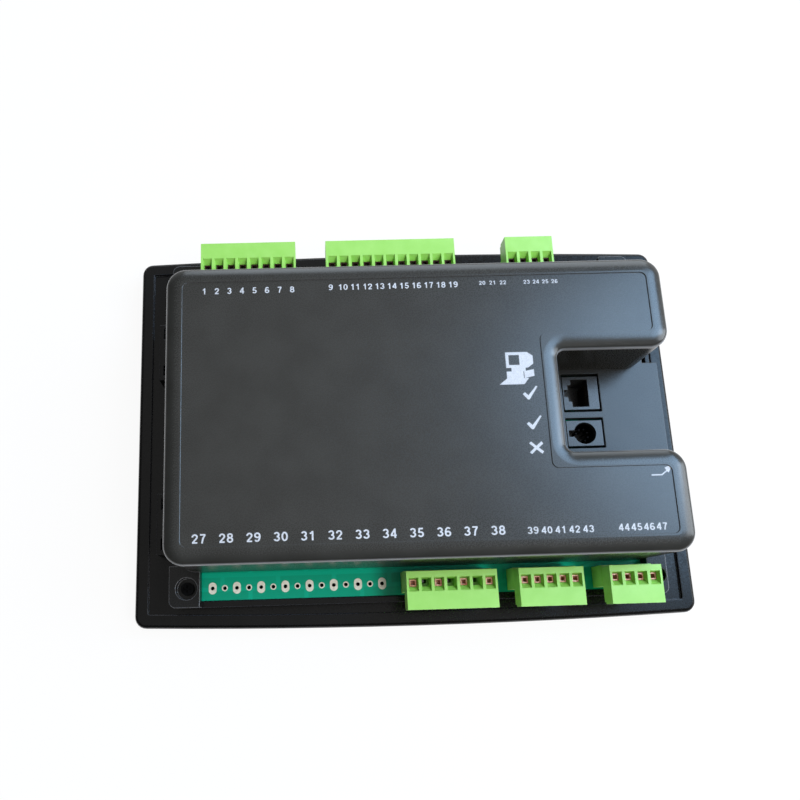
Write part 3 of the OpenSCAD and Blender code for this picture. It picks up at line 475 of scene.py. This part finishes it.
figures = {  # strokes in a field FIELD wide and 1 high
    "0": [arc(0.31, 0.5, 0.22, 0.42, 0, 360, 28)],
    "1": [[(0.37, 0.0), (0.37, 1.0)], [(0.12, 0.72), (0.26, 0.78), (0.36, 0.92)]],
    "2": [arc(0.31, 0.69, 0.215, 0.23, 185, -32) + [(0.12, 0.10)], [(0.06, 0.08), (0.56, 0.08)]],
    "3": [arc(0.30, 0.715, 0.20, 0.205, 165, -90), arc(0.30, 0.295, 0.225, 0.215, 90, -165)],
    "4": [[(0.44, 0.0), (0.44, 1.0)], [(0.42, 0.93), (0.08, 0.33)], [(0.03, 0.28), (0.60, 0.28)]],
    "5": [[(0.53, 0.92), (0.13, 0.92)], [(0.18, 0.95), (0.13, 0.46)],
          arc(0.30, 0.315, 0.225, 0.235, 132, -160)],
    "6": [arc(0.31, 0.30, 0.22, 0.225, 0, 360, 24), arc(0.34, 0.47, 0.25, 0.45, 190, 48)],
    "7": [[(0.06, 0.92), (0.57, 0.92)], [(0.53, 0.92), (0.35, 0.55), (0.25, 0.0)]],
    "8": [arc(0.31, 0.725, 0.19, 0.20, 0, 360, 22), arc(0.31, 0.295, 0.225, 0.22, 0, 360, 24)],
    "I": [[(0.31, 0.0), (0.31, 1.0)]],
    "M": [[(0.05, 0.0), (0.05, 1.0)], [(0.05, 0.96), (0.31, 0.25), (0.57, 0.96)], [(0.57, 0.0), (0.57, 1.0)]],
    "T": [[(0.31, 0.0), (0.31, 1.0)], [(0.02, 0.92), (0.60, 0.92)]],
    "A": [[(0.02, 0.0), (0.31, 0.97), (0.60, 0.0)], [(0.12, 0.30), (0.50, 0.30)]]}
figures["9"] = [[(FIELD - x, 1 - y) for x, y in stroke] for stroke in figures["6"]]
print("figures:", " ".join(figures))

# %% Strokes
PEN = 0.165
MITRE_LIMIT = 0.4
NEAR = 1e-6
INSIDE_ONLY = 1


def ribbon(points, width):
    """Four-sided pieces that follow points as a stroke of one width, with mitred joints."""
    closed = math.dist(points[0], points[-1]) < NEAR
    line = [Vector(p) for p in (points[:-1] if closed else points)]
    count = len(line)
    sides = []
    for i, p in enumerate(line):
        ways = []
        if closed or i > 0:
            ways.append((p - line[i - 1]).normalized())
        if closed or i < count - 1:
            ways.append((line[(i + 1) % count] - p).normalized())
        way = sum(ways, Vector((0, 0))).normalized()
        reach = width / 2 / max(way.dot(ways[0]), MITRE_LIMIT)
        across = Vector((-way.y, way.x)) * reach
        sides.append((p + across, p - across))
    pairs = [(i, (i + 1) % count) for i in range(count if closed else count - 1)]
    return [[sides[i][1], sides[j][1], sides[j][0], sides[i][0]] for i, j in pairs]


def melt(outlines):
    """Merges flat outlines that may overlap into triangles: points and corner numbers."""
    points, faces = [], []
    for outline in outlines:
        corners = [Vector(p) for p in outline]
        area = sum(a.cross(b) for a, b in zip(corners, corners[1:] + corners[:1]))
        faces.append(list(range(len(points), len(points) + len(corners))))
        points += corners if area > 0 else corners[::-1]
    merged = delaunay_2d_cdt(points, [], faces, INSIDE_ONLY, NEAR)
    return merged[0], [face for face, parents in zip(merged[2], merged[5]) if parents]


melted = {sign: melt([piece for stroke in strokes for piece in ribbon(stroke, PEN)])
          for sign, strokes in figures.items()}
print("figures melted:", len(melted), "triangles:", sum(len(shape[1]) for shape in melted.values()))

# %% Printing
WIDE = 1.13
ADVANCE = 0.74 * WIDE
LABEL_SINK = 0.4
INK_LIFT = 0.03
INK_GRAIN_MM, INK_DETAIL = 0.4, 3
label_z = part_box("rear_cover")[1][2] / MM - LABEL_SINK + INK_LIFT
print_white, tree, shader, place = finish("print_white", 0.6)
ink_grain = noise(tree, place, INK_GRAIN_MM, INK_DETAIL)
tree.links.new(two_tone(tree, ink_grain, seen(180, 180, 185), seen(202, 202, 207)),
               shader.inputs["Base Color"])


def lay(sheet, shape, x, y, size, z, side=1, wide=1.0):
    """Adds a melted shape to a bmesh, its origin at x, y, scaled by size; side -1 is read from below."""
    points, faces = shape
    verts = [sheet.verts.new(((x + side * p.x * size * wide) * MM, (y + p.y * size) * MM, z * MM))
             for p in points]
    for face in faces:
        sheet.faces.new([verts[i] for i in (face if side > 0 else face[::-1])])


def print_word(sheet, word, x, y, height, z, side=1):
    """Adds a word to a bmesh, its middle at x, y and its figures height mm tall."""
    for i, sign in enumerate(word):
        start = (i - (len(word) - 1) / 2) * ADVANCE - FIELD / 2 * WIDE
        lay(sheet, melted[sign], x + side * start * height, y - height / 2, height, z, side, WIDE)


def print_piece(name, sheet, body="housing", material=print_white):
    """Makes a piece of print from a bmesh and lets it ride on a body."""
    mesh = bpy.data.meshes.new(name)
    sheet.to_mesh(mesh)
    sheet.free()
    piece = bpy.data.objects.new(name, mesh)
    bpy.context.collection.objects.link(piece)
    mesh.materials.append(material)
    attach(piece, body)
    print(name, "faces:", len(mesh.polygons))


print("print lies at", round(label_z, 2), "mm")

# %% Terminal numbers
numbers = [  # first number, count, x of the first, step, y, height
    (27, 12, -86.0, 10.16, -51.7, 3.5),
    (1, 8, -84.3, 5.03, 47.5, 2.6),
    (9, 11, -33.6, 4.93, 48.0, 2.5),
    (20, 3, 27.5, 4.2, 48.4, 1.7),
    (23, 4, 45.5, 3.77, 48.4, 1.7),
    (39, 5, 38.8, 5.22, -52.1, 2.7),
    (44, 4, 73.1, 4.77, -51.9, 2.7)]
sheet = bmesh.new()
for first, count, x, step, y, height in numbers:
    for i in range(count):
        print_word(sheet, str(first + i), x + i * step, y, height, label_z)
print_piece("terminal_numbers", sheet)

# %% [markdown]
# ## Signs beside the ports
# A plain picture of a desk computer stands beside the two ports, with ticks and a cross below it. A
# traced picture would be hard to change, so the computer is built up from a few heights and widths: keys
# in front, the case behind them, a neck and the tube on top. All signs are flat polygons; the screen is
# left open, so the dark cover shows through it.

# %% Port signs
def bar_frame(x0, y0, x1, y1, w):
    """Outlines of four bars round a rectangle."""
    return [[(x0, y0), (x1, y0), (x1, y0 + w), (x0, y0 + w)],
            [(x0, y1 - w), (x1, y1 - w), (x1, y1), (x0, y1)],
            [(x0, y0), (x0 + w, y0), (x0 + w, y1), (x0, y1)],
            [(x1 - w, y0), (x1, y0), (x1, y1), (x1 - w, y1)]]


def computer_sign(left, bottom):
    """Outlines of a desk computer seen half from the side, in mm."""
    keys_high, case_high, neck_high, tube_high = 2.5, 2.8, 1.5, 6.5
    keys_reach, case_wide, side_wide = 3.2, 6.6, 4.2
    lean, gap, rim, step = 0.8, 0.3, 1.2, 2
    x0 = left + keys_reach
    x1 = x0 + case_wide
    x2 = x1 + side_wide
    y0 = bottom + keys_high
    y1 = y0 + case_high
    y2 = y1 + neck_high
    y3 = y2 + tube_high
    keys = [(left, bottom), (x1, bottom), (x1 + step, y0), (x0, y0)]
    case_front = [(x0, y0), (x1, y0), (x1, y1), (x0, y1)]
    case_side = [(x1 + gap, y0), (x2, y0 + lean), (x2, y1 + lean), (x1 + gap, y1)]
    neck = [(x0 + step, y1), (x1 + step / 2, y1), (x1 + step / 2, y2), (x0 + step, y2)]
    tube_side = [(x1, y2), (x1 + step, y2), (x2, y2 + 2 * lean),
                 (x2, y3 - 2 * lean), (x1 + step, y3), (x1, y3)]
    return bar_frame(x0, y2, x1, y3, rim) + [tube_side, neck, case_front, case_side, keys]


TICK_HIGH, TICK_WIDE = 5.4, 1.12
CROSS_HIGH = 5.0
sign_spot = (31.0, 5.2)
tick_spots = [(39.7, -1.0), (40.2, -13.0)]
cross_spot = (43.1, -20.4)
tick = [[(0, 0.40), (0.15, 0.54), (0.37, 0.30), (0.90, 1.0), (1.0, 0.95), (0.42, -0.02), (0.31, -0.02)]]
cross = [[(-0.55, -0.36), (-0.38, -0.5), (0.0, -0.14), (0.55, 0.3), (0.42, 0.5), (0.0, 0.14)],
         [(-0.55, 0.36), (-0.38, 0.5), (0.0, 0.14), (0.55, -0.3), (0.42, -0.5), (0.0, -0.14)]]
sheet = bmesh.new()
lay(sheet, melt(computer_sign(*sign_spot)), 0, 0, 1, label_z)
for x, y in tick_spots:
    lay(sheet, melt(tick), x, y, TICK_HIGH, label_z, wide=TICK_WIDE)
lay(sheet, melt(cross), *cross_spot, CROSS_HIGH, label_z)
print_piece("port_signs", sheet)

# %% Port arrow
ARROW_PEN = 0.5
arrow_line = [(86.0, -32.3), (90.0, -32.3), (93.0, -30.0)]
arrow_head = [(91.2, -29.6), (92.6, -31.6), (94.6, -28.2)]
sheet = bmesh.new()
lay(sheet, melt(ribbon(arrow_line, ARROW_PEN) + [arrow_head]), 0, 0, 1, label_z)
print_piece("port_arrow", sheet)

# %% [markdown]
# ## Print on the front
# The front is hidden in this view but is part of the object. The overlay film has a dark border round the
# display, small lamp windows and thin lines round its fields. The buttons carry the usual plain marks: a
# bar to start, a ring to stop, letters for the modes and arrows to scroll. The marks could be a texture,
# but as flat pieces they can ride on their buttons, which travel.

# %% Front border, lines and lamps
FILM_LIFT = 0.02
BORDER_MARGIN, BORDER_WIDE = 3, 5.2
LINE_GAP, LINE_WIDE = 0.6, 0.5
LAMP_RING, LAMP_WINDOW, PINHOLE = 2.3, 1.8, 0.01
lamp_spots = [(75, 42), (75, 30), (75, 18), (75, 6), (-78, -26), (-39, -26), (39, -26), (78, -26)]
button_field = (-98, -58, 98, -19)


def ring(sheet, x, y, r, w, z, n=40):
    """Adds a flat ring of outer radius r and width w to a bmesh, to be seen from below."""
    rim = [[sheet.verts.new(((x + k * math.cos(2 * math.pi * i / n)) * MM,
                             (y + k * math.sin(2 * math.pi * i / n)) * MM, z * MM)) for i in range(n)]
           for k in (r, r - w)]
    for i in range(n):
        j = (i + 1) % n
        sheet.faces.new([rim[0][i], rim[1][i], rim[1][j], rim[0][j]])


film_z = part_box("facia_overlay")[0][2] / MM - FILM_LIFT
low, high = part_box("display_window")
x_low = low[0] / MM - BORDER_MARGIN
y_low = low[1] / MM - BORDER_MARGIN
x_high = high[0] / MM + BORDER_MARGIN
y_high = high[1] / MM + BORDER_MARGIN
sheet = bmesh.new()
lay(sheet, melt(bar_frame(-x_high, y_low, -x_low, y_high, BORDER_WIDE)), 0, 0, 1, film_z, -1)
print_piece("display_border", sheet, material=dark_skin)

display_field = (-x_high - LINE_GAP, y_low - LINE_GAP, LINE_GAP - x_low, y_high + LINE_GAP)
sheet = bmesh.new()
for x, y in lamp_spots:
    ring(sheet, x, y, LAMP_RING, LINE_WIDE, film_z)
for corners in (display_field, button_field):
    lay(sheet, melt(bar_frame(*corners, LINE_WIDE)), 0, 0, 1, film_z, -1)
print_piece("front_lines", sheet)

sheet = bmesh.new()
for x, y in lamp_spots:
    ring(sheet, x, y, LAMP_WINDOW, LAMP_WINDOW - PINHOLE, film_z)
print_piece("lamp_windows", sheet, material=red_skin)

# %% Button marks
STOP_RING, STOP_PEN = 3.2, 0.8
LETTER_HIGH = 5.0
HALF_ARROW, ARROW_FOOT, ARROW_TIP = 2.4, 1.6, 2.2


def middle(node_name):
    """Middle of a button in x and y, and the height of print on its face, in mm."""
    low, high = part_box(node_name)
    return (low[0] + high[0]) / 2 / MM, (low[1] + high[1]) / 2 / MM, low[2] / MM - FILM_LIFT


x, y, z = middle("stop_button")
sheet = bmesh.new()
ring(sheet, x, y, STOP_RING, STOP_PEN, z)
print_piece("stop_mark", sheet, "stop_button")
for button, mark, ink in (("start_button", "I", print_white), ("manual_button", "M", dark_skin),
                          ("test_button", "T", dark_skin), ("auto_button", "A", dark_skin)):
    x, y, z = middle(button)
    sheet = bmesh.new()
    print_word(sheet, mark, x, y, LETTER_HIGH, z, -1)
    print_piece(button.replace("button", "mark"), sheet, button, ink)
for key, way in (("scroll_up_key", 1), ("scroll_down_key", -1)):
    x, y, z = middle(key)
    arrow = [(-HALF_ARROW, -way * ARROW_FOOT), (0, way * ARROW_TIP), (HALF_ARROW, -way * ARROW_FOOT)]
    sheet = bmesh.new()
    lay(sheet, melt([arrow]), x, y, 1, z, -1)
    print_piece(key.replace("key", "mark"), sheet, key, dark_skin)

# %% [markdown]
# ## Stage and light
# The picture has a plain white ground. The floor is a pale diffuse plane that looks nearly white to the
# camera but still takes the object's shadow. More lamps would whiten it too, but they would wash out the
# object.
#
# The world is bright near the horizon and overhead, like pale studio walls and a ceiling, with a darker
# zone between them. So flat faces look lighter than the shoulder beside them, and rounded rims catch a
# thin line of light. It grows brighter to the right, and in what glossy skins mirror also towards the far
# end.
#
# A large cool softbox stands high on the right, as a window would, and gives the grey-blue sheen on the
# right half of the cover. A lower one on the same side and a wide one at the far end light the walls that
# face them, which leaves the left sides in shade. A small fourth one fills the shade at the near end. It
# isn't mirrored, because the glossy cover would show its outline.

# %% Stage
FLOOR_REACH = 3
FLOOR_GREY = 0.86
WHITE_SHARE = 0.93
floor_mesh = bpy.data.meshes.new("floor")
floor_corners = [(x * FLOOR_REACH, y * FLOOR_REACH, 0) for x, y in ((-1, -1), (1, -1), (1, 1), (-1, 1))]
floor_mesh.from_pydata(floor_corners, [], [(0, 1, 2, 3)])
floor = bpy.data.objects.new("floor", floor_mesh)
bpy.context.collection.objects.link(floor)
ground = bpy.data.materials.new("ground")
ground.use_nodes = True
tree = ground.node_tree
tree.nodes.clear()
pale = add(tree, "ShaderNodeBsdfDiffuse", Color=(FLOOR_GREY, FLOOR_GREY, FLOOR_GREY, 1))
white = add(tree, "ShaderNodeEmission", Strength=1.0)
path = tree.nodes.new("ShaderNodeLightPath").outputs
sight = path["Is Camera Ray"]
for ray in ("Is Glossy Ray", "Is Transmission Ray"):
    sight = combine(tree, "ShaderNodeMath", "MAXIMUM", sight, path[ray]).outputs[0]
share = combine(tree, "ShaderNodeMath", "MULTIPLY", sight, WHITE_SHARE)
mix = tree.nodes.new("ShaderNodeMixShader")
out = tree.nodes.new("ShaderNodeOutputMaterial")
for source, socket in zip((share, pale, white), mix.inputs):
    tree.links.new(source.outputs[0], socket)
tree.links.new(mix.outputs[0], out.inputs[0])
floor_mesh.materials.append(ground)
print("floor ready")

# %% World
SKY_LEVELS = [(0.0, 0.90), (0.18, 0.70), (0.45, 0.16), (0.72, 0.22), (0.90, 0.62), (1.0, 0.70)]
WINDOW_SIDE = (0.75, 0.65, 0.0)
TURN = 0.6
MIRRORED_LEVELS = (0.45, 1.70)
DIFFUSE_LEVELS = (0.3, 1.6)
world = bpy.data.worlds.new("studio")
scene.world = world
world.use_nodes = True
tree = world.node_tree
back = tree.nodes["Background"]
outward = tree.nodes.new("ShaderNodeTexCoord").outputs["Generated"]
axes = tree.nodes.new("ShaderNodeSeparateXYZ")
tree.links.new(outward, axes.inputs["Vector"])
tree.links.new(stepped(tree, axes.outputs["Z"], SKY_LEVELS), back.inputs["Color"])
windowward = combine(tree, "ShaderNodeVectorMath", "DOT_PRODUCT", outward, WINDOW_SIDE)
rays = tree.nodes.new("ShaderNodeLightPath")
bright = tree.nodes.new("ShaderNodeMix")
tree.links.new(rays.outputs["Is Diffuse Ray"], bright.inputs["Factor"])
mirrored_level = remap(tree, windowward.outputs["Value"], -TURN, TURN, *MIRRORED_LEVELS)
diffuse_level = remap(tree, axes.outputs["X"], -TURN, TURN, *DIFFUSE_LEVELS)
tree.links.new(mirrored_level, bright.inputs["A"])
tree.links.new(diffuse_level, bright.inputs["B"])
tree.links.new(bright.outputs["Result"], back.inputs["Strength"])
print("pale world with", len(SKY_LEVELS), "levels")

# %% Lamps
def softbox(name, place, aim, size, power, colour, mirrored=True):
    """Rectangular area lamp at place that faces aim, in metres and watts."""
    lamp = bpy.data.lights.new(name, "AREA")
    lamp.shape = "RECTANGLE"
    lamp.size, lamp.size_y = size
    lamp.energy = power
    lamp.color = colour
    holder = bpy.data.objects.new(name, lamp)
    holder.location = place
    holder.rotation_euler = (Vector(aim) - Vector(place)).to_track_quat("-Z", "Y").to_euler()
    holder.visible_glossy = mirrored
    bpy.context.collection.objects.link(holder)


softbox("right_softbox", (0.80, 0.34, 0.95), (0.10, 0, 0.05), (0.60, 0.80), 14.0, (0.42, 0.68, 1.0))
softbox("low_softbox", (1.05, 0.10, 0.62), (0.02, 0, 0.02), (0.50, 0.60), 5.0, (0.84, 0.92, 1.0))
softbox("back_softbox", (0.25, 1.10, 0.55), (0, 0.05, 0.04), (1.20, 0.50), 6.0, (0.80, 0.90, 1.0))
softbox("fill_softbox", (0.45, -0.35, 0.95), (0, -0.04, 0.03), (0.30, 0.30), 5.5, (1.0, 1.0, 0.96),
        mirrored=False)
print("four softboxes")
